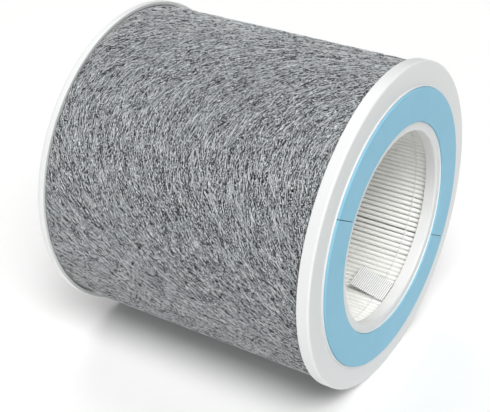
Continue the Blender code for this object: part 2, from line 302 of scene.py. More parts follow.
def handling_marks_group():
    """Faint rubs and hairlines from packing and handling, from 0 to 1."""
    inputs = {"Place": None, "Rub Size": 0.02, "Hairline Size": 0.0006}
    group, given, result = new_group("handling marks", inputs, ["Marks"])
    rub_scale = maths(group, "DIVIDE", 1.0, given["Rub Size"])
    rubbed = ramp(group, cloud(group, given["Place"], rub_scale, 4.0, 0.65), 0.45, 0.75)
    hair_scale = maths(group, "DIVIDE", 1.0, given["Hairline Size"])
    stretched = add_node(group, "ShaderNodeMapping",
                         {"Vector": given["Place"], "Rotation": (0.3, 0.5, 0.9), "Scale": (1.0, 0.06, 1.0)})
    scored = ramp(group, cloud(group, stretched.outputs[0], hair_scale, 1.0, 0.5), 0.66, 0.74)
    marks = maths(group, "MULTIPLY_ADD", scored, 0.4, maths(group, "MULTIPLY", rubbed, 0.6), clamp=True)
    group.links.new(marks, result["Marks"])
    return group


def fibre_group(name, size, output):
    """An empty group for fibres that lie along the second axis, turned by a tilt, in a numbered layer."""
    inputs = {"Lay": None, size: 0.001, "Length": 0.01, "Tilt": 0.0, "Layer": 0.0}
    group, given, result = new_group(name, inputs, [output])
    return group, given, result, turned(group, given["Lay"], given["Tilt"])


def fibre_streaks_group():
    """Long thin soft streaks, from 0 to 1."""
    group, given, result, parts = fibre_group("fibre streaks", "Width", "Streaks")
    across = maths(group, "DIVIDE", parts[0], given["Width"])
    along = maths(group, "DIVIDE", parts[1], given["Length"])
    stretched = joined(group, across, along, given["Layer"])
    group.links.new(cloud(group, stretched, 1.0, 2.0, 0.55), result["Streaks"])
    return group


def needles_group():
    """Short fibres side by side, each with its own tone from 0 to 1."""
    group, given, result, parts = fibre_group("needles", "Width", "Tone")
    across = maths(group, "ADD", maths(group, "DIVIDE", parts[0], given["Width"]), given["Layer"])
    along = maths(group, "DIVIDE", parts[1], given["Length"])
    cells = add_node(group, "ShaderNodeTexVoronoi",
                     {"Vector": joined(group, across, along, 0.0), "Scale": 1.0}, voronoi_dimensions="2D")
    group.links.new(split(group, cells.outputs["Color"])[0], result["Tone"])
    return group


def fibre_lines_group(streaks):
    """Lines of fibres close side by side, which wander and pinch, from 0 between them to 1 on top."""
    group, given, result, parts = fibre_group("fibre lines", "Pitch", "Lines")
    patch = maths(group, "MULTIPLY", given["Pitch"], 3.0)
    wander = place_group(group, streaks, {"Lay": given["Lay"], "Width": patch, "Length": given["Length"],
                                          "Tilt": given["Tilt"], "Layer": given["Layer"]})
    count = maths(group, "DIVIDE", parts[0], given["Pitch"])
    phase = maths(group, "MULTIPLY_ADD", wander["Streaks"], 4.0, count)
    wave = maths(group, "SINE", maths(group, "MULTIPLY", phase, math.tau))
    group.links.new(maths(group, "MULTIPLY_ADD", wave, 0.5, 0.5), result["Lines"])
    return group


def sleeve_lay_group():
    """The way the sleeve's fibres lie: distance across the arcs, taken in bands, and distance round."""
    inputs = {"Place": None, "Crest": 0.0, "Steepness": 1.0, "Radius": 0.1, "Band": 0.02}
    group, given, result = new_group("sleeve lay", inputs, ["Lay"], "Vector")
    parts = turned(group, given["Place"], maths(group, "MULTIPLY", given["Crest"], -1.0))
    arc_height = maths(group, "MULTIPLY_ADD", parts[0], given["Steepness"], parts[2])
    side = maths(group, "DIVIDE", parts[1], given["Radius"])
    steep = maths(group, "MULTIPLY", side, given["Steepness"])
    spread = maths(group, "SQRT", maths(group, "MULTIPLY_ADD", steep, steep, 1.0))
    share = maths(group, "DIVIDE", arc_height, given["Band"])
    band = maths(group, "FLOOR", share)
    from_middle = maths(group, "SUBTRACT", maths(group, "SUBTRACT", share, band), 0.5)
    inside = maths(group, "MULTIPLY", from_middle, given["Band"])
    band_step = maths(group, "MULTIPLY", given["Band"], 1.37)
    across = maths(group, "MULTIPLY_ADD", band, band_step, maths(group, "DIVIDE", inside, spread))
    along = maths(group, "MULTIPLY", maths(group, "ARCTAN2", parts[1], parts[0]), given["Radius"])
    group.links.new(joined(group, across, along, 0.0), result["Lay"])
    return group


def fibre_mat_group(needles, lines, streaks, lay):
    """Crossing layers of fibres: where light ones lie on top, where the mat is dark, its height and lie."""
    inputs = {"Place": None, "Width": 0.001, "Length": 0.01, "Crossing": 0.4}
    group, given, result = new_group("fibre mat", inputs, ["Light", "Dark", "Height", "Lie"])
    arcs = place_group(group, lay, {"Place": given["Place"], "Crest": CREST_ANGLE, "Band": LAY_BAND,
                                    "Steepness": ARC_STEEPNESS, "Radius": WRAP_RADIUS})["Lay"]
    width, length = given["Width"], given["Length"]
    pitch = maths(group, "MULTIPLY", width, 2.0)
    layers = []
    for number, turn in enumerate((-1.0, 1.0)):
        tilt = maths(group, "MULTIPLY", given["Crossing"], turn)
        layer = place_group(group, lines, {"Lay": arcs, "Pitch": pitch, "Length": length, "Tilt": tilt,
                                           "Layer": 5.7 * number + 1.3})
        layers.append(layer["Lines"])
    patch_width = maths(group, "MULTIPLY", width, 3.0)
    patches = place_group(group, needles, {"Lay": arcs, "Width": patch_width, "Length": length,
                                           "Layer": 11.0})
    chosen = maths(group, "GREATER_THAN", patches["Tone"], 0.5)
    height = add_node(group, "ShaderNodeMix", {0: chosen, 2: layers[0], 3: layers[1]}).outputs[0]
    short = maths(group, "MULTIPLY", length, 0.3)
    own = place_group(group, needles, {"Lay": arcs, "Width": width, "Length": short, "Layer": 48.0})
    strength = ramp(group, own["Tone"], 0.1, 0.6, 0.5, 1.0)
    wide = maths(group, "MULTIPLY", width, 3.5)
    long = maths(group, "MULTIPLY", length, 3.0)
    lie = place_group(group, streaks, {"Lay": arcs, "Width": wide, "Length": long, "Layer": 7.3})
    for label, low, high in (("Light", 0.64, 0.80), ("Dark", 0.58, 0.46)):
        shown = maths(group, "MULTIPLY", ramp(group, height, low, high), strength)
        group.links.new(shown, result[label])
    group.links.new(height, result["Height"])
    group.links.new(lie["Streaks"], result["Lie"])
    return group


def cap_zone_group():
    """Zones of a cap for painted light and shade: the wall inside the mouth, painted lighter, and the flat
    face short of the rim, painted darker.
    """
    inputs = {"Place": None, "Mouth": 0.05, "Rim": 0.1, "Top": 0.2}
    group, given, result = new_group("cap zone", inputs, ["Inside", "Face Shade"])
    flat = add_node(group, "ShaderNodeVectorMath", {0: given["Place"], 1: (1.0, 1.0, 0.0)},
                    operation="MULTIPLY").outputs[0]
    radius = add_node(group, "ShaderNodeVectorMath", {0: flat}, operation="LENGTH").outputs["Value"]
    past_mouth = maths(group, "SUBTRACT", radius, given["Mouth"])
    short_of_rim = maths(group, "SUBTRACT", given["Rim"], radius)
    below_top = maths(group, "SUBTRACT", given["Top"], split(group, given["Place"])[2])
    # Painted light: the wall inside the mouth gets the lighter tone.
    inside = maths(group, "MULTIPLY", ramp(group, past_mouth, 5.0 * MM, 6.0 * MM, 1.0, 0.0),
                   ramp(group, below_top, 0.9 * MM, 1.8 * MM))
    # The outer lip's top and the inner bead stay out of the face's painted shade, so they show as bright
    # lines: painted highlights.
    low = maths(group, "MULTIPLY", ramp(group, below_top, 0.05 * MM, 0.25 * MM),
                maths(group, "SUBTRACT", 1.0, inside))
    face = maths(group, "MULTIPLY", ramp(group, short_of_rim, 0.1 * MM, 1.3 * MM), low)
    group.links.new(inside, result["Inside"])
    group.links.new(face, result["Face Shade"])
    return group


def rib_gap_group():
    """How deep in the gap between two ribs a point lies, from 0 on a rib to 1, for painted shade in the gaps.
    The ribs follow a line.
    """
    inputs = {"Place": None, "Start": None, "Along": None, "Pitch": 0.001}
    group, given, result = new_group("rib gap", inputs, ["Gap"])
    offset = add_node(group, "ShaderNodeVectorMath", {0: given["Place"], 1: given["Start"]},
                      operation="SUBTRACT")
    distance = add_node(group, "ShaderNodeVectorMath", {0: offset.outputs[0], 1: given["Along"]},
                        operation="DOT_PRODUCT").outputs["Value"]
    phase = maths(group, "MULTIPLY", maths(group, "DIVIDE", distance, given["Pitch"]), math.pi)
    crest = maths(group, "ABSOLUTE", maths(group, "SINE", phase))
    group.links.new(ramp(group, crest, 0.15, 0.75, 1.0, 0.0), result["Gap"])
    return group


def seam_shade_group():
    """How near a height is to either edge of the open cloth, from 0 to 1, for painted shade where the cloth
    goes under the caps.
    """
    inputs = {"Place": None, "Low": 0.0, "High": 0.2, "Reach": 0.001}
    group, given, result = new_group("seam_shade", inputs, ["Seam"])
    height = split(group, given["Place"])[2]
    from_low = maths(group, "SUBTRACT", height, given["Low"])
    from_high = maths(group, "SUBTRACT", given["High"], height)
    nearest = maths(group, "DIVIDE", maths(group, "MINIMUM", from_low, from_high), given["Reach"])
    group.links.new(ramp(group, nearest, 0.6, 1.0, 1.0, 0.0), result["Seam"])
    return group


def new_material(name, **constants):
    """A material and its shader, with the values that are the same all over the surface."""
    material = bpy.data.materials.new(name)
    material.use_nodes = True
    tree = material.node_tree
    shader = tree.nodes["Principled BSDF"]
    for label, value in constants.items():
        shader.inputs[label.replace("_", " ")].default_value = value
    return material, tree, shader.inputs


def grained_material(name, grain, grain_size, drift_size, **constants):
    """A material with the grain that all of them share, the point on the surface and the grain's outputs."""
    material, tree, shader = new_material(name, **constants)
    place = add_node(tree, "ShaderNodeTexCoord").outputs["Object"]
    fine = place_group(tree, grain, {"Place": place, "Grain Size": grain_size, "Drift Size": drift_size})
    return material, tree, shader, place, fine


def add_relief(tree, shader, height, depth):
    """Bump on the shader from a height, with the real depth of the relief."""
    bump = add_node(tree, "ShaderNodeBump", {"Height": height, "Distance": depth, "Strength": 1.0})
    tree.links.new(bump.outputs["Normal"], shader["Normal"])


def make_finishes():
    """All the materials, by the name of the finish."""
    grain = fine_grain_group()
    marks = handling_marks_group()
    streaks = fibre_streaks_group()
    mat = fibre_mat_group(needles_group(), fibre_lines_group(streaks), streaks, sleeve_lay_group())
    return {
        "shell": shell_plastic(grain, marks, cap_zone_group()),
        "foam": gasket_foam(grain, marks),
        "sleeve": sleeve_cloth(grain, mat, seam_shade_group()),
        **{tone: fibre_yarn(tone + " fibre", grain, *FIBRE_TONES[tone]) for tone in FIBRE_TONES},
        "paper": filter_paper(grain, streaks),
        "glue": set_glue(grain),
        "webbing": tab_webbing(grain, streaks, rib_gap_group()),
        "carbon": carbon_cloth(grain),
    }


def shell_plastic(grain, marks, zone):
    """Satin white moulded plastic, with painted light on the wall inside the mouth and painted shade on the
    flat face.
    """
    material, tree, shader, place, fine = grained_material("shell plastic", grain, 0.35 * MM, 45 * MM,
                                                           Specular_IOR_Level=0.45)
    handled = place_group(tree, marks, {"Place": place, "Rub Size": 18 * MM, "Hairline Size": 0.7 * MM})
    zones = place_group(tree, zone, {"Place": place, "Mouth": MOUTH_RADIUS, "Rim": CAP_RADIUS,
                                     "Top": OUTER_LIP_TOP})
    # Painted light: the wall inside the mouth is a lighter copy of the same plastic.
    painted_light_mouth = tint(tree, zones["Inside"], (0.79, 0.802, 0.798), (0.86, 0.868, 0.862))
    # Painted shade: the flat face is a darker copy of the same plastic.
    painted_shade_face = tint(tree, maths(tree, "MULTIPLY", zones["Face Shade"], 0.75), painted_light_mouth, (0.645, 0.657, 0.655))
    drift = ramp(tree, fine["Drift"], 0.35, 0.65, 0.0, 0.12)
    tree.links.new(tint(tree, drift, painted_shade_face, (0.70, 0.71, 0.70)), shader["Base Color"])
    tree.links.new(ramp(tree, handled["Marks"], 0.0, 1.0, 0.40, 0.52), shader["Roughness"])
    add_relief(tree, shader, fine["Grain"], 0.012 * MM)
    return material


def gasket_foam(grain, marks):
    """Light blue closed-cell foam with a fine matte skin."""
    material, tree, shader, place, fine = grained_material(
        "gasket foam", grain, 0.25 * MM, 25 * MM, Specular_IOR_Level=0.3, Sheen_Weight=0.12,
        Sheen_Roughness=0.5, Sheen_Tint=(0.75, 0.9, 1.0, 1.0))
    handled = place_group(tree, marks, {"Place": place, "Rub Size": 12 * MM, "Hairline Size": 0.9 * MM})
    cells = add_node(tree, "ShaderNodeTexVoronoi", {"Vector": place, "Scale": 1.0 / (0.45 * MM)})
    drift = ramp(tree, fine["Drift"], 0.35, 0.65)
    base = tint(tree, drift, (0.232, 0.490, 0.638), (0.248, 0.510, 0.658))
    cell_edge = ramp(tree, cells.outputs["Distance"], 0.0, 0.6, 0.93, 1.0)
    speckled = add_node(tree, "ShaderNodeMix", {"Factor": 1.0, 6: base}, data_type="RGBA",
                        blend_type="MULTIPLY")
    tree.links.new(cell_edge, speckled.inputs[7])
    tree.links.new(speckled.outputs[2], shader["Base Color"])
    tree.links.new(ramp(tree, handled["Marks"], 0.0, 1.0, 0.78, 0.62), shader["Roughness"])
    height = maths(tree, "MULTIPLY_ADD", cells.outputs["Distance"], 0.6, fine["Grain"])
    add_relief(tree, shader, height, 0.03 * MM)
    return material


def sleeve_cloth(grain, mat, seam_shade):
    """Grey nonwoven: light and dark fibres pressed into a felt, in swirling layers."""
    material, tree, shader, place, fine = grained_material(
        "sleeve cloth", grain, 0.72 * MM, 22 * MM, Roughness=0.9, Specular_IOR_Level=0.2,
        Sheen_Weight=1.0, Sheen_Roughness=0.36)
    coarse = place_group(tree, mat, {"Place": place, "Width": 0.62 * MM, "Length": 6.0 * MM,
                                     "Crossing": FIBRE_CROSSING})
    drift = ramp(tree, maths(tree, "MULTIPLY_ADD", fine["Drift"], 0.3, coarse["Lie"]), 0.5, 0.8)
    ground = tint(tree, drift, (0.100, 0.114, 0.121), (0.160, 0.176, 0.186))
    shaded = tint(tree, coarse["Dark"], ground, (0.004, 0.004, 0.005))
    pale = (0.76, 0.80, 0.82)
    lit = tint(tree, maths(tree, "MULTIPLY", coarse["Light"], 0.95), shaded, pale)
    flecked = tint(tree, ramp(tree, fine["Grain"], 0.55, 0.61, 0.0, 0.6), lit, pale)
    pitted = tint(tree, ramp(tree, fine["Grain"], 0.49, 0.455), flecked, (0.001, 0.001, 0.002))
    # Painted shade: a dark line along both edges of the cloth, where it goes under the caps.
    edge = place_group(tree, seam_shade, {"Place": place, "Low": MEDIA_BOTTOM + BOTTOM_SKIRT_LAP,
                                    "High": MEDIA_TOP - SKIRT_LAP, "Reach": SEAM_SHADE_WIDTH})
    tree.links.new(tint(tree, edge["Seam"], pitted, (0.06, 0.058, 0.055)), shader["Base Color"])
    add_relief(tree, shader, coarse["Height"], 0.15 * MM)
    return material


def fibre_yarn(name, grain, darkest, lightest, sheen):
    """Loose fibres on the sleeve, each of its own tone."""
    material, tree, shader, _, fine = grained_material(
        name, grain, 0.6 * MM, 9 * MM, Roughness=0.6, Specular_IOR_Level=0.3, Sheen_Weight=sheen,
        Sheen_Roughness=0.24)
    own = add_node(tree, "ShaderNodeNewGeometry").outputs["Random Per Island"]
    tone = maths(tree, "MULTIPLY_ADD", maths(tree, "SUBTRACT", fine["Grain"], 0.5), 0.5, own, clamp=True)
    tree.links.new(tint(tree, tone, darkest, lightest), shader["Base Color"])
    add_relief(tree, shader, fine["Grain"], 0.02 * MM)
    return material


def filter_paper(grain, streaks):
    """Warm white filter paper of short matted fibres."""
    material, tree, shader, place, fine = grained_material(
        "filter paper", grain, 0.5 * MM, 14 * MM, Roughness=0.85, Specular_IOR_Level=0.2,
        Sheen_Weight=0.15, Sheen_Roughness=0.6)
    fleck = place_group(tree, streaks, {"Lay": place, "Width": 0.5 * MM, "Length": 2.5 * MM, "Tilt": 0.6,
                                        "Layer": 3.0})
    drift = ramp(tree, fine["Drift"], 0.35, 0.65)
    base = tint(tree, drift, (0.955, 0.953, 0.918), (0.975, 0.975, 0.950))
    colour = tint(tree, ramp(tree, fleck["Streaks"], 0.55, 0.8, 0.0, 0.35), base, (0.90, 0.895, 0.85))
    tree.links.new(colour, shader["Base Color"])
    height = maths(tree, "ADD", fine["Grain"], fleck["Streaks"])
    add_relief(tree, shader, height, 0.05 * MM)
    return material


def set_glue(grain):
    """Milky hot-melt adhesive, smooth and a little glossy."""
    material, tree, shader, _, fine = grained_material(
        "set glue", grain, 1.2 * MM, 6 * MM, Specular_IOR_Level=0.5, Subsurface_Weight=0.25,
        Subsurface_Scale=2 * MM, Subsurface_Radius=(1.0, 0.9, 0.7))
    drift = ramp(tree, fine["Drift"], 0.35, 0.65)
    tree.links.new(tint(tree, drift, (0.86, 0.86, 0.83), (0.92, 0.92, 0.89)), shader["Base Color"])
    tree.links.new(ramp(tree, fine["Grain"], 0.3, 0.7, 0.22, 0.40), shader["Roughness"])
    add_relief(tree, shader, fine["Grain"], 0.08 * MM)
    return material


def tab_webbing(grain, streaks, rib_gap):
    """White woven webbing of fine filament yarn."""
    material, tree, shader, place, fine = grained_material(
        "tab webbing", grain, 0.25 * MM, 8 * MM, Roughness=0.75, Specular_IOR_Level=0.3,
        Sheen_Weight=0.25, Sheen_Roughness=0.4)
    filaments = place_group(tree, streaks, {"Lay": place, "Width": 2.0 * MM, "Length": 0.15 * MM,
                                            "Layer": 1.0})
    drift = ramp(tree, fine["Drift"], 0.35, 0.65)
    base = tint(tree, drift, (0.86, 0.865, 0.86), (0.90, 0.905, 0.90))
    colour = tint(tree, ramp(tree, filaments["Streaks"], 0.5, 0.8, 0.0, 0.3), base, (0.72, 0.72, 0.71))
    start, along, _ = tab_frame()
    rib_gap_shade = place_group(tree, rib_gap, {"Place": place, "Start": start, "Along": along,
                                      "Pitch": TAB_LENGTH / TAB_RIBS})
    # Painted shade: the gaps between the ribs are darkened.
    colour = tint(tree, maths(tree, "MULTIPLY", rib_gap_shade["Gap"], 0.85), colour, (0.26, 0.26, 0.26))
    tree.links.new(colour, shader["Base Color"])
    height = maths(tree, "ADD", fine["Grain"], filaments["Streaks"])
    add_relief(tree, shader, height, 0.05 * MM)
    return material


def carbon_cloth(grain):
    """Black cloth loaded with carbon granules."""
    material, tree, shader, place, fine = grained_material("carbon cloth", grain, 0.5 * MM, 12 * MM,
                                                           Specular_IOR_Level=0.3)
    granules = add_node(tree, "ShaderNodeTexVoronoi", {"Vector": place, "Scale": 1.0 / (1.3 * MM)})
    hollow = ramp(tree, granules.outputs["Distance"], 0.1, 0.6)
    tree.links.new(tint(tree, hollow, (0.035, 0.035, 0.036), (0.012, 0.012, 0.013)), shader["Base Color"])
    tree.links.new(ramp(tree, fine["Drift"], 0.3, 0.7, 0.75, 0.95), shader["Roughness"])
    height = maths(tree, "SUBTRACT", fine["Grain"], granules.outputs["Distance"])
    add_relief(tree, shader, height, 0.3 * MM)
    return material


def add_object(name, data):
    """An object in the scene."""
    made = bpy.data.objects.new(name, data)
    bpy.context.scene.collection.objects.link(made)
    return made


def arc(center, radius, start, end, steps):
    """Points of a circular arc between two angles in degrees, in the plane of a profile."""
    angles = [(start + (end - start) * i / steps) * DEGREE for i in range(steps + 1)]
    return [(center[0] + radius * math.cos(a), center[1] + radius * math.sin(a)) for a in angles]


def filleted(corners):
    """A closed outline whose corners (radius, height, round) have their rounds drawn as arcs."""
    points = []
    for number, (radius, height, size) in enumerate(corners):
        here = Vector((radius, height))
        if size == 0.0:
            points.append(tuple(here))
            continue
        before = (Vector(corners[number - 1][:2]) - here).normalized()
        after = (Vector(corners[(number + 1) % len(corners)][:2]) - here).normalized()
        half = before.angle(after) / 2
        center = here + (before + after).normalized() * (size / math.sin(half))
        first = here + before * (size / math.tan(half)) - center
        last = here + after * (size / math.tan(half)) - center
        sweep = first.angle_signed(last)
        for step in range(FILLET_STEPS + 1):
            turn = Matrix.Rotation(-sweep * step / FILLET_STEPS, 2)
            points.append(tuple(center + turn @ first))
    return points


def loft(name, sections, closed):
    """A closed skin over sections of equally many points. Open runs are capped at both ends."""
    count, size = len(sections), len(sections[0])
    points = np.asarray(sections, float).reshape(-1, 3)
    faces = []
    for here in range(count if closed else count - 1):
        there = (here + 1) % count
        for side in range(size):
            following = (side + 1) % size
            faces.append((here * size + side, here * size + following,
                          there * size + following, there * size + side))
    if not closed:
        faces.append(tuple(range(size)))
        faces.append(tuple(range((count - 1) * size, count * size)))
    mesh = bpy.data.meshes.new(name)
    mesh.from_pydata(points.tolist(), [], faces)
    skin = bmesh.new()
    skin.from_mesh(mesh)
    bmesh.ops.remove_doubles(skin, verts=skin.verts, dist=WELD)
    bmesh.ops.recalc_face_normals(skin, faces=skin.faces)
    skin.to_mesh(mesh)
    skin.free()
    mesh.shade_smooth()
    return add_object(name, mesh)


def at_angle(profile, angle):
    """A profile of (radius, height) points set at an angle round the filter's axis."""
    return [(radius * math.cos(angle), radius * math.sin(angle), height) for radius, height in profile]


def even_shading(piece):
    """Flat faces next to small rounds keep flat shading."""
    weighted = piece.modifiers.new("even shading", "WEIGHTED_NORMAL")
    weighted.keep_sharp = True


def dress(piece, finish, node):
    """The piece takes its finish and stands for its solid."""
    piece.data.materials.append(finish)
    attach(piece, "root")
    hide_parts(node)


def repaint(node, finish):
    """A solid that keeps its own shape takes a detailed finish."""
    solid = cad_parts[node]
    solid.data.materials.clear()
    solid.data.materials.append(finish)


def top_cap_profile():
    """Section of the top cap, with every edge rounded as moulded."""
    face = OUTER_LIP_TOP - OUTER_LIP_HEIGHT
    ceiling = face - TOP_PLATE
    skirt_bottom = MEDIA_TOP - SKIRT_LAP
    skirt_inner = CAP_RADIUS - SKIRT_WALL
    mouth_top = face + INNER_LIP_HEIGHT
    lip_edge = MOUTH_RADIUS + INNER_LIP_WIDTH
    lip_inner = lip_edge + INNER_SEAT_GAP + GASKET_WIDTH + OUTER_SEAT_GAP
    lip_outer = lip_inner + OUTER_LIP_WIDTH
    seat = GASKET_BOTTOM - CLEARANCE
    mouth_center = (MOUTH_RADIUS + MOUTH_ROUND, mouth_top - MOUTH_ROUND)
    mouth = [(*point, 0.0) for point in arc(mouth_center, MOUTH_ROUND, MOUTH_ROUND_START, 90, MOUTH_STEPS)]
    return filleted([
        (CAP_RADIUS, face, CAP_EDGE),
        (CAP_RADIUS, skirt_bottom, EDGE_ROUND),
        (skirt_inner, skirt_bottom, EDGE_ROUND),
        (skirt_inner, ceiling, HIDDEN_ROUND),
        (BEAD_RADIUS, ceiling, HIDDEN_ROUND),
        (BEAD_RADIUS, COLLAR_BOTTOM, HIDDEN_ROUND),
        (MOUTH_RADIUS + COLLAR_DRAFT, COLLAR_BOTTOM + COLLAR_LIFT, FOOT_ROUND),
        *mouth,
        (lip_edge - INNER_BEAD_WIDTH, mouth_top, INNER_BEAD_ROUNDS[0]),
        (lip_edge - INNER_BEAD_WIDTH / 2, mouth_top + INNER_BEAD_HEIGHT, INNER_BEAD_ROUNDS[1]),
        (lip_edge, mouth_top + INNER_BEAD_HEIGHT, SEAT_ROUND),
        (lip_edge, seat, SEAT_ROUND),
        (lip_inner, seat, SEAT_ROUND),
        (lip_inner, OUTER_LIP_TOP, FOOT_ROUND),
        (lip_outer, OUTER_LIP_TOP, EDGE_ROUND),
        (lip_outer, face, FOOT_ROUND),
    ])


def bottom_cap_profile():
    """Section of the closed bottom cap: panel, ring round the pleats, skirt and rounded rim."""
    skirt_top = MEDIA_BOTTOM + BOTTOM_SKIRT_LAP
    skirt_inner = CAP_RADIUS - SKIRT_WALL
    ring_inner = BEAD_RADIUS - CENTRING_WALL
    slope_outer = ring_inner - PANEL_MARGIN
    panel = slope_outer - PANEL_SLOPE
    return filleted([
        (0.0, PANEL_RISE, 0.0),
        (0.0, PANEL_RISE + BOTTOM_PLATE, 0.0),
        (panel, PANEL_RISE + BOTTOM_PLATE, PANEL_ROUND),
        (slope_outer, BOTTOM_PLATE, PANEL_ROUND),
        (ring_inner, BOTTOM_PLATE, CENTRING_FOOT_ROUND),
        (ring_inner + CENTRING_DRAFT, CENTRING_TOP, FOOT_ROUND),
        (BEAD_RADIUS, CENTRING_TOP, FOOT_ROUND),
        (BEAD_RADIUS, BOTTOM_PLATE, HIDDEN_ROUND),
        (skirt_inner, BOTTOM_PLATE, HIDDEN_ROUND),
        (skirt_inner, skirt_top, EDGE_ROUND),
        (CAP_RADIUS, skirt_top, EDGE_ROUND),
        (CAP_RADIUS, 0.0, CAP_EDGE),
        (slope_outer, 0.0, PANEL_ROUND),
        (panel, PANEL_RISE, PANEL_ROUND),
    ])


def make_caps(finish):
    """The open top cap and the closed bottom cap."""
    for node, profile in (("top_end_cap", top_cap_profile()), ("bottom_end_cap", bottom_cap_profile())):
        sections = [at_angle(profile, math.tau * step / TURN_STEPS) for step in range(TURN_STEPS)]
        cap = loft(node.replace("end_cap", "cap"), sections, True)
        even_shading(cap)
        dress(cap, finish, node)


def gasket_section(inset):
    """Section of the foam with soft upper edges, drawn in by an inset where the strip ends."""
    inner = MOUTH_RADIUS + INNER_LIP_WIDTH + INNER_SEAT_GAP - SEAT_SQUEEZE + inset
    outer = inner + GASKET_WIDTH + 2 * SEAT_SQUEEZE - 2 * inset
    top = GASKET_TOP - inset
    return filleted([
        (outer, top, GASKET_EDGE),
        (outer, GASKET_BOTTOM, HIDDEN_ROUND),
        (inner, GASKET_BOTTOM, HIDDEN_ROUND),
        (inner, top, GASKET_EDGE),
    ])


def make_gasket(finish):
    """Two half rings of foam whose ends meet at a hairline slit."""
    middle = MOUTH_RADIUS + INNER_LIP_WIDTH + GASKET_WIDTH / 2
    slit = GASKET_SLIT / 2 / middle
    tip = GASKET_END / middle
    for node, start in (("gasket_half_a", GASKET_SPLIT), ("gasket_half_b", GASKET_SPLIT + math.pi)):
        low, high = start + slit, start + math.pi - slit
        stations = [(low + tip * share, inset) for share, inset in GASKET_END_SHAPE]
        for step in range(1, GASKET_STEPS):
            stations.append((low + tip + (high - low - 2 * tip) * step / GASKET_STEPS, 0.0))
        stations += [(high - tip * share, inset) for share, inset in reversed(GASKET_END_SHAPE)]
        sections = []
        for angle, inset in stations:
            place = Vector((math.cos(angle), math.sin(angle), 0.0)) * GASKET_WAVE_REACH + UP * 5.0
            wave = GASKET_WAVE * noise.noise(place)
            sections.append(at_angle(gasket_section(inset + max(wave, 0.0)), angle))
        half = loft(node.replace("half_", "foam_"), sections, False)
        even_shading(half)
        dress(half, finish, node)


def make_sleeve(finish):
    """The nonwoven sleeve's body: a stretched ring of felt with an uneven outer face."""
    body = WRAP_RADIUS - WRAP_SINK
    inner = WRAP_RADIUS - WRAP_THICKNESS
    heights = [MEDIA_BOTTOM + (MEDIA_TOP - MEDIA_BOTTOM) * i / WRAP_LEVELS for i in range(WRAP_LEVELS + 1)]
    sections = []
    for step in range(WRAP_STEPS):
        angle = math.tau * step / WRAP_STEPS
        across = Vector((math.cos(angle), math.sin(angle), 0.0))
        section = []
        for height in heights:
            place = across * body + UP * height
            bump = sum(share * noise.noise(place / size) for size, share in WRAP_BUMP_SIZES)
            section.append(place + across * (bump * WRAP_BUMP))
        section += [across * inner + UP * height for height in (MEDIA_TOP, MEDIA_BOTTOM)]
        sections.append([tuple(point) for point in section])
    sleeve = loft("sleeve_felt", sections, True)
    dress(sleeve, finish, "prefilter_wrap")


def make_fibres(tone, finish):
    """Loose fibres on the felt, laid in arcs: short ones with one end sunk, long ones with both ends sunk."""
    seed, count, parts, shortest, longest, thinnest, widest, tallest = FIBRES[tone]
    draw = np.random.default_rng(seed)
    low = MEDIA_BOTTOM + BOTTOM_SKIRT_LAP + SEAM_SHADE_WIDTH
    high = MEDIA_TOP - SKIRT_LAP - SEAM_SHADE_WIDTH
    angle = draw.uniform(0.0, math.tau, count)
    height = draw.uniform(low, high, count)
    length = draw.uniform(shortest, longest, count)
    width = draw.uniform(thinnest, widest, count)
    stray = draw.normal(0.0, FIBRE_CROSSING, count)
    way = draw.choice((-1.0, 1.0), count)
    sunk = draw.uniform(-FIBRE_SINK, 0.0, count)
    raised = draw.uniform(0.0, tallest, count)
    upward = np.array(UP)
    rings = []
    for ring in range(parts + 1):
        share = ring / parts
        heading = np.arctan(ARC_STEEPNESS * np.sin(angle - CREST_ANGLE)) + stray
        rise = share if parts == 1 else math.sin(math.pi * share)
        radius = WRAP_RADIUS - WRAP_SINK + sunk * (1.0 - rise) + raised * rise
        outward = np.stack([np.cos(angle), np.sin(angle), 0 * angle], axis=1)
        around = np.stack([-np.sin(angle), np.cos(angle), 0 * angle], axis=1)
        beside = around * np.sin(heading)[:, None] - upward * np.cos(heading)[:, None]
        center = outward * radius[:, None] + upward * height[:, None]
        half = width[:, None] * (1.0 + share * (FIBRE_TAPER - 1.0)) / 2
        rings += [center - beside * half, center + beside * half, center + outward * half]
        angle = angle + way * length * np.cos(heading) / parts / WRAP_RADIUS
        height = np.clip(height + way * length * np.sin(heading) / parts, low, high)
    points = np.stack(rings, axis=1).reshape(-1, 3)
    pattern = [(0, 1, 2), (3 * parts + 2, 3 * parts + 1, 3 * parts)]
    for ring in range(parts):
        first = 3 * ring
        pattern += [(first + a, first + 3 + a, first + 3 + b, first + b) for a, b in ((0, 1), (1, 2), (2, 0))]
    corners = 3 * (parts + 1)
    faces = [tuple(corners * fibre + corner for corner in face) for fibre in range(count) for face in pattern]
    mesh = bpy.data.meshes.new(tone + "_fibres")
    mesh.from_pydata(points.tolist(), [], faces)
    mesh.shade_smooth()
    dress(add_object(mesh.name, mesh), finish, "prefilter_wrap")


def pleat_line(height, drifts):
    """Middle line of the folded paper at a height, as points round the ring."""
    turn = math.tau / PLEAT_COUNT
    fold_center = PLEAT_RADIUS + PAPER_THICKNESS / 2 + FOLD_RADIUS
    crease = PLEAT_RADIUS + PLEAT_DEPTH - PAPER_THICKNESS / 2
    line = []
    for pleat in range(PLEAT_COUNT):
        wander = noise.noise(Vector((pleat * PLEAT_WANDER_STEP, height / PLEAT_WANDER_LENGTH, 0.5)))
        sideways = drifts[pleat] + PLEAT_WANDER * wander
        inner = Matrix.Rotation(pleat * turn + sideways / PLEAT_RADIUS, 3, "Z")
        outer = Matrix.Rotation((pleat + 0.5) * turn, 3, "Z")
        for along, across in arc((fold_center, 0.0), FOLD_RADIUS, 270, 90, FOLD_STEPS):
            line.append(inner @ Vector((along, across, height)))
        for across in (-CREASE_WIDTH / 2, CREASE_WIDTH / 2):
            line.append(outer @ Vector((crease, across, height)))
    return np.array(line)


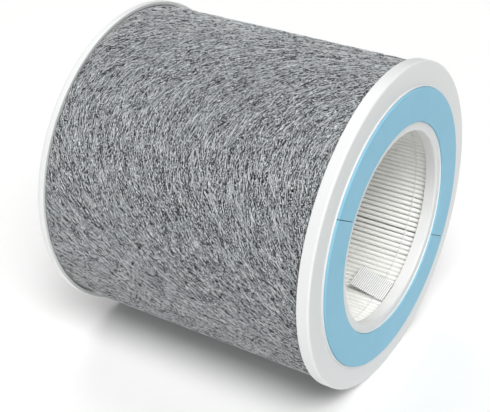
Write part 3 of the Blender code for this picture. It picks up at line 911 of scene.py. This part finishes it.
def make_media(finish):
    """The pleated paper ring, each fold a little off its true place as in real media."""
    drifts = np.random.default_rng(PLEAT_SEED).uniform(-PLEAT_DRIFT, PLEAT_DRIFT, PLEAT_COUNT)
    sides = {"out": [], "in": []}
    for level in range(PLEAT_LEVELS + 1):
        height = MEDIA_BOTTOM + (MEDIA_TOP - MEDIA_BOTTOM) * level / PLEAT_LEVELS
        line = pleat_line(height, drifts)
        before = line - np.roll(line, 1, axis=0)
        after = np.roll(line, -1, axis=0) - line
        normals = []
        for run in (before, after):
            run = run / np.linalg.norm(run, axis=1, keepdims=True)
            normals.append(np.stack([run[:, 1], -run[:, 0], run[:, 2]], axis=1))
        mean = normals[0] + normals[1]
        mean /= np.linalg.norm(mean, axis=1, keepdims=True)
        stretch = 1.0 / np.maximum((mean * normals[0]).sum(axis=1), 0.5)
        offset = mean * (stretch * PAPER_THICKNESS / 2)[:, None]
        sides["out"].append(line + offset)
        sides["in"].append(line - offset)
    skin = np.stack(sides["out"] + sides["in"][::-1], axis=1)
    media = loft("pleated_paper", skin, True)
    media.data.set_sharp_from_angle(angle=PLEAT_SHARP)
    dress(media, finish, "pleated_media")


def make_beads(finish):
    """Threads of set glue across the pleat tips, sagging into the grooves between them."""
    steps = PLEAT_COUNT * BEAD_STEPS
    rounds = [math.tau * side / BEAD_SIDES for side in range(BEAD_SIDES)]
    for number, node in enumerate(BEADS):
        low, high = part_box(node)
        middle = (low.z + high.z) / 2
        sections = []
        for step in range(steps):
            angle = math.tau * step / steps
            groove = 0.5 - 0.5 * math.cos(math.tau * step / BEAD_STEPS)
            place = Vector((math.cos(angle), math.sin(angle), 0.0)) * BEAD_WAVE_REACH + UP * (3.0 * number)
            drift = BEAD_DRIFT * noise.noise(place)
            swell = 1.0 + BEAD_SWELL * noise.noise(place * 3.0)
            outer = BEAD_RADIUS + (BEAD_DEPTH + BEAD_RAGGED * noise.noise(place * 5.0)) * groove
            inner = BEAD_RADIUS - BEAD_FILM * swell + BEAD_SAG * groove
            tall = BEAD_HEIGHT / 2 * swell
            center, reach = (outer + inner) / 2, (outer - inner) / 2
            section = [(center + reach * math.cos(a), middle + drift + tall * math.sin(a)) for a in rounds]
            sections.append(at_angle(section, angle))
        dress(loft(node.replace("bead", "thread"), sections, True), finish, node)


def tab_frame():
    """Where the tab starts, the way its straight part runs, and its own directions."""
    radial = Vector((math.cos(TAB_ANGLE), math.sin(TAB_ANGLE), 0.0))
    skewed = Matrix.Rotation(TAB_SKEW, 3, radial)
    down = skewed @ -UP
    side = skewed @ radial.cross(UP)
    seat = math.sqrt(BEAD_RADIUS ** 2 - (TAB_WIDTH / 2) ** 2) - TAB_THICKNESS / 2
    top = COLLAR_BOTTOM - CLEARANCE - math.sin(TAB_SKEW) * TAB_WIDTH / 2
    start = radial * seat + UP * top
    along = down * math.cos(TAB_TILT) - radial * math.sin(TAB_TILT)
    return start, along, (radial, down, side)


def tab_middle(distance):
    """Place and lean of the tab's middle line at a distance along it: bent at first, then straight."""
    bend = TAB_BEND * TAB_TILT
    lean = min(distance, bend) / TAB_BEND
    straight = max(distance - bend, 0.0)
    inward = TAB_BEND * (1.0 - math.cos(lean)) + straight * math.sin(lean)
    down = TAB_BEND * math.sin(lean) + straight * math.cos(lean)
    return inward, down, lean


def make_tab(finish):
    """The pull tab of ribbed webbing, glued under the collar and standing off into the bore."""
    start, _, (radial, down, side) = tab_frame()
    stations = TAB_RIBS * TAB_RIB_STEPS
    sections = []
    for station in range(stations + 1):
        distance = TAB_LENGTH * station / stations
        inward, fall, lean = tab_middle(distance)
        rib = int(TAB_RIBS * (station - 0.5) / stations)
        crest = abs(math.sin(math.pi * station / TAB_RIB_STEPS)) ** TAB_RIB_POWER
        thick = TAB_THICKNESS / 2 - TAB_RIB_DEPTH * (1.0 - crest)
        facing = radial * math.cos(lean) - down * math.sin(lean)
        middle = start - radial * inward + down * fall
        faces = {1.0: [], -1.0: []}
        for column in range(TAB_COLUMNS + 1):
            across = TAB_WIDTH * (column / TAB_COLUMNS - 0.5)
            edge = min(1.0, (TAB_WIDTH / 2 - abs(across)) / TAB_EDGE + TAB_EDGE_SHARE)
            yarn = math.cos(math.tau * across / TAB_YARN_PITCH + math.pi * (rib % 2))
            half = (thick - TAB_YARN_DEPTH * (1.0 - yarn) * crest) * math.sqrt(edge)
            for face in faces:
                faces[face].append(tuple(middle + side * across + facing * (half * face)))
        sections.append(faces[1.0] + faces[-1.0][::-1])
    dress(loft("webbing_tab", sections, False), finish, "pull_tab")


def make_floor():
    """A pale floor that the rims lie on. It is seen only from above, and lamps below it shine through."""
    material, tree, _ = new_material("studio floor", Base_Color=FLOOR_COLOUR, Roughness=0.6,
                                     Specular_IOR_Level=0.2)
    pale = tree.nodes["Principled BSDF"].outputs[0]
    clear = add_node(tree, "ShaderNodeBsdfTransparent").outputs[0]
    behind = add_node(tree, "ShaderNodeNewGeometry").outputs["Backfacing"]
    shadow = add_node(tree, "ShaderNodeLightPath").outputs["Is Shadow Ray"]
    open_way = maths(tree, "MAXIMUM", behind, shadow)
    shown = add_node(tree, "ShaderNodeMixShader", {0: open_way, 1: pale, 2: clear})
    tree.links.new(shown.outputs[0], tree.nodes["Material Output"].inputs["Surface"])
    side = FLOOR_SIZE / 2
    corners = [(x * side, CAP_RADIUS, z * side) for x, z in ((-1, -1), (1, -1), (1, 1), (-1, 1))]
    mesh = bpy.data.meshes.new("studio_floor")
    mesh.from_pydata(corners, [], [(0, 1, 2, 3)])
    mesh.materials.append(material)
    add_object("studio_floor", mesh)


def make_sky():
    """Soft even light from all round, and plain white behind the filter."""
    world = bpy.data.worlds.new("studio")
    world.use_nodes = True
    tree = world.node_tree
    tree.nodes.clear()
    seen = add_node(tree, "ShaderNodeBackground", {"Color": (1.0, 1.0, 1.0, 1.0), "Strength": 1.0})
    soft = add_node(tree, "ShaderNodeBackground", {"Color": SKY_COLOUR, "Strength": SKY_STRENGTH})
    camera = add_node(tree, "ShaderNodeLightPath").outputs["Is Camera Ray"]
    both = add_node(tree, "ShaderNodeMixShader", {0: camera, 1: soft.outputs[0], 2: seen.outputs[0]})
    output = add_node(tree, "ShaderNodeOutputWorld")
    tree.links.new(both.outputs[0], output.inputs["Surface"])
    bpy.context.scene.world = world


def make_lamps():
    """Broad soft lamps, each far away, so that the floor is evenly lit."""
    for name, (turn, rise, width, strength) in LAMPS.items():
        level = Vector((math.cos(turn * DEGREE), math.sin(turn * DEGREE), 0.0))
        toward = level * math.cos(rise * DEGREE) + UP * math.sin(rise * DEGREE)
        light = bpy.data.lights.new(name, "SUN")
        light.angle = width * DEGREE
        light.energy = math.pi * strength
        lamp = add_object(name, light)
        lamp.location = toward
        lamp.rotation_euler = (-toward).to_track_quat("-Z", "Y").to_euler()


def make_camera():
    """The photo's camera, turned so that the floor lies below the filter."""
    data = bpy.data.cameras.new("camera")
    data.lens = CAMERA_LENS
    data.sensor_width = CAMERA_SENSOR
    data.sensor_fit = "HORIZONTAL"
    camera = add_object("camera", data)
    place = Vector(CAMERA_PLACE)
    ahead = (Vector(CAMERA_AIM) - place).normalized()
    right = ahead.cross(FLOOR_SIDE).normalized()
    up = right.cross(ahead)
    camera.matrix_world = Matrix.Translation(place) @ Matrix((right, up, -ahead)).transposed().to_4x4()
    bpy.context.scene.camera = camera


def main():
    """Every piece, its finish, the floor, the light and the camera."""
    bpy.context.scene.view_settings.view_transform = "Standard"
    finishes = make_finishes()
    make_camera()
    make_caps(finishes["shell"])
    make_gasket(finishes["foam"])
    make_sleeve(finishes["sleeve"])
    for tone in FIBRES:
        make_fibres(tone, finishes[tone])
    make_media(finishes["paper"])
    make_beads(finishes["glue"])
    make_tab(finishes["webbing"])
    repaint("carbon_layer", finishes["carbon"])
    for node in ("top_glue_bed", "bottom_glue_bed"):
        repaint(node, finishes["glue"])
    make_floor()
    make_sky()
    make_lamps()


main()
